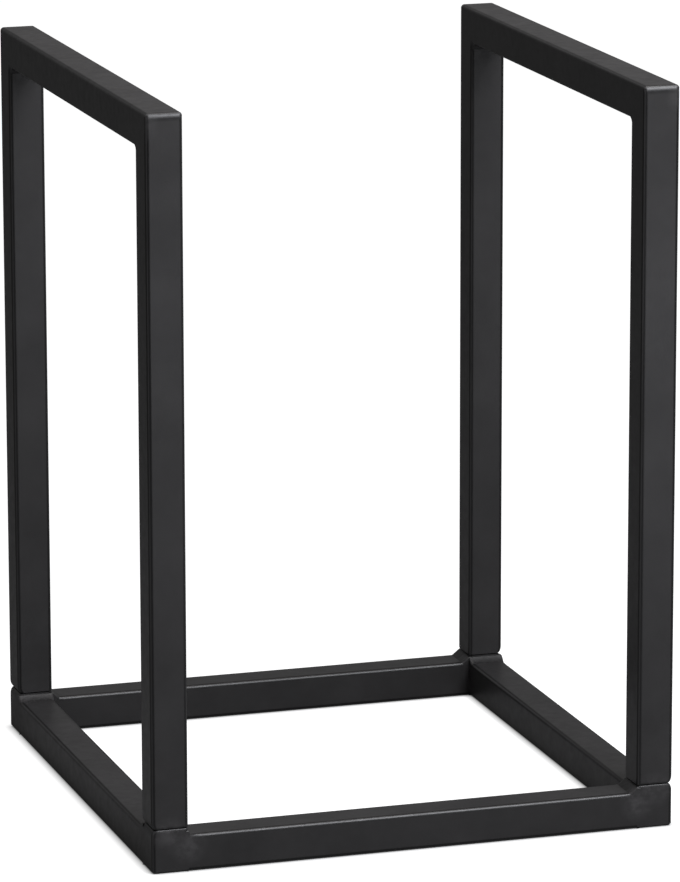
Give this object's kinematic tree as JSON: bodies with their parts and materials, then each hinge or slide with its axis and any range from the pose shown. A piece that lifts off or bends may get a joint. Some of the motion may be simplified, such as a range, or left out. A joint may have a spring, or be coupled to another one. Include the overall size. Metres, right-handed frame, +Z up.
{
  "type": "firewood rack",
  "caption": "Free-standing firewood rack of black square steel tube: a flat square base with a tall hoop screwed upright on each side, and an open bay for logs between the hoops.",
  "frame": {"origin": "on the floor, under the middle of the rack", "axes": "+Z up, the open front of the log bay towards -Y, the two hoops at -X and +X"},
  "size_m": [0.29, 0.3, 0.403],
  "materials": {
    "black_steel": "satin black powder coat",
    "zinc_steel": "zinc plated",
    "plug_plastic": "moulded black, matt"
  },
  "bodies": {
    "root": {"back_left_corner_plate": "black_steel", "back_left_corner_tube": "black_steel", "back_left_corner_welds": "black_steel", "back_left_foot_plug": "plug_plastic", "back_left_post": "black_steel", "back_left_post_plate": "black_steel", "back_right_corner_plate": "black_steel", "back_right_corner_tube": "black_steel", "back_right_corner_welds": "black_steel", "back_right_foot_plug": "plug_plastic", "back_right_post": "black_steel", "back_right_post_plate": "black_steel", "base_back_rail": "black_steel", "base_front_rail": "black_steel", "base_left_rail": "black_steel", "base_right_rail": "black_steel", "flat_washers": "zinc_steel", "front_left_corner_plate": "black_steel", "front_left_corner_tube": "black_steel", "front_left_corner_welds": "black_steel", "front_left_foot_plug": "plug_plastic", "front_left_post": "black_steel", "front_left_post_plate": "black_steel", "front_right_corner_plate": "black_steel", "front_right_corner_tube": "black_steel", "front_right_corner_welds": "black_steel", "front_right_foot_plug": "plug_plastic", "front_right_post": "black_steel", "front_right_post_plate": "black_steel", "joining_screws": "zinc_steel", "left_hoop_welds": "black_steel", "left_top_rail": "black_steel", "right_hoop_welds": "black_steel", "right_top_rail": "black_steel", "spring_washers": "zinc_steel"}
  },
  "joints": []
}
